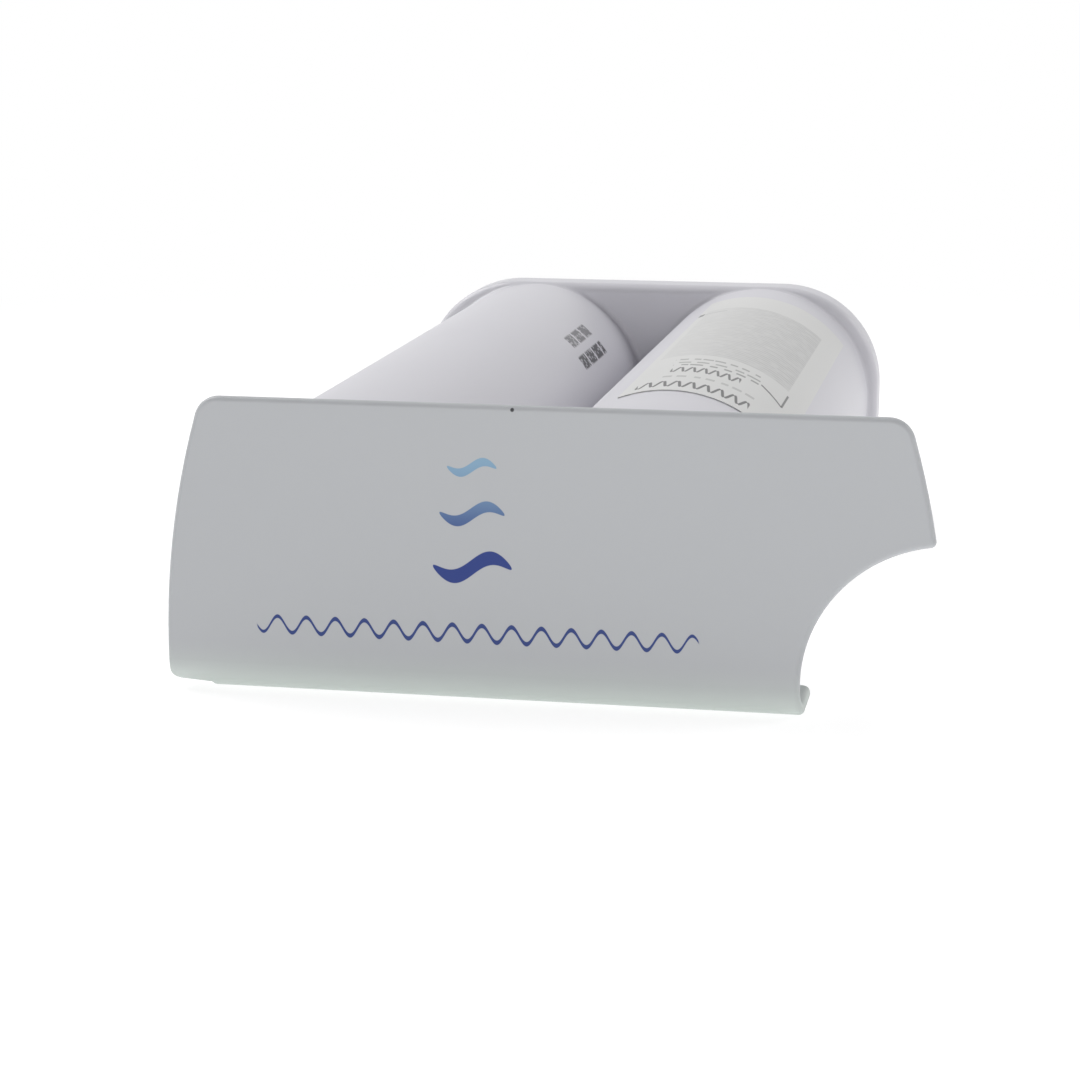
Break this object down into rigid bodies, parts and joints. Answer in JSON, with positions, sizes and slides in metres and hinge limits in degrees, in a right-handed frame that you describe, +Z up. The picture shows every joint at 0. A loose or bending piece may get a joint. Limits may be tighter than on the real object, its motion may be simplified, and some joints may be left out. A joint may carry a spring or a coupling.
{
  "type": "fridge water filter cartridge",
  "caption": "Push-in water filter cartridge: side-by-side white tubes, rounded rear flange with sealed ports, and a front cover panel with a curled lip and a round corner notch.",
  "frame": {"origin": "under the middle of the footprint, on the surface that the cartridge lies on", "axes": "+Z up, +Y from the front cover to the ports, +X to the right as seen from the front"},
  "size_m": [0.1358, 0.222, 0.0535],
  "materials": {
    "cover_plastic": "satin moulded, light grey-white",
    "body_plastic": "satin moulded, white",
    "label_film": "thin printed film, silvery white",
    "seal_rubber": "smooth black",
    "carbon": "pressed carbon, matt black",
    "fleece": "white non-woven",
    "cap_plastic": "moulded white",
    "pad_foam": "closed-cell foam, grey"
  },
  "bodies": {
    "root": {"front_cover": "cover_plastic", "twin_canister": "body_plastic", "manifold_cap": "body_plastic", "port_plate": "body_plastic", "rating_label": "label_film", "inlet_o_ring_inner": "seal_rubber", "inlet_o_ring_outer": "seal_rubber", "outlet_o_ring_inner": "seal_rubber", "outlet_o_ring_outer": "seal_rubber", "carbon_block_left": "carbon", "fleece_wrap_left": "fleece", "block_front_cap_left": "cap_plastic", "block_rear_cap_left": "cap_plastic", "block_o_ring_left": "seal_rubber", "take_up_pad_left": "pad_foam", "carbon_block_right": "carbon", "fleece_wrap_right": "fleece", "block_front_cap_right": "cap_plastic", "block_rear_cap_right": "cap_plastic", "block_o_ring_right": "seal_rubber", "take_up_pad_right": "pad_foam"}
  },
  "joints": []
}
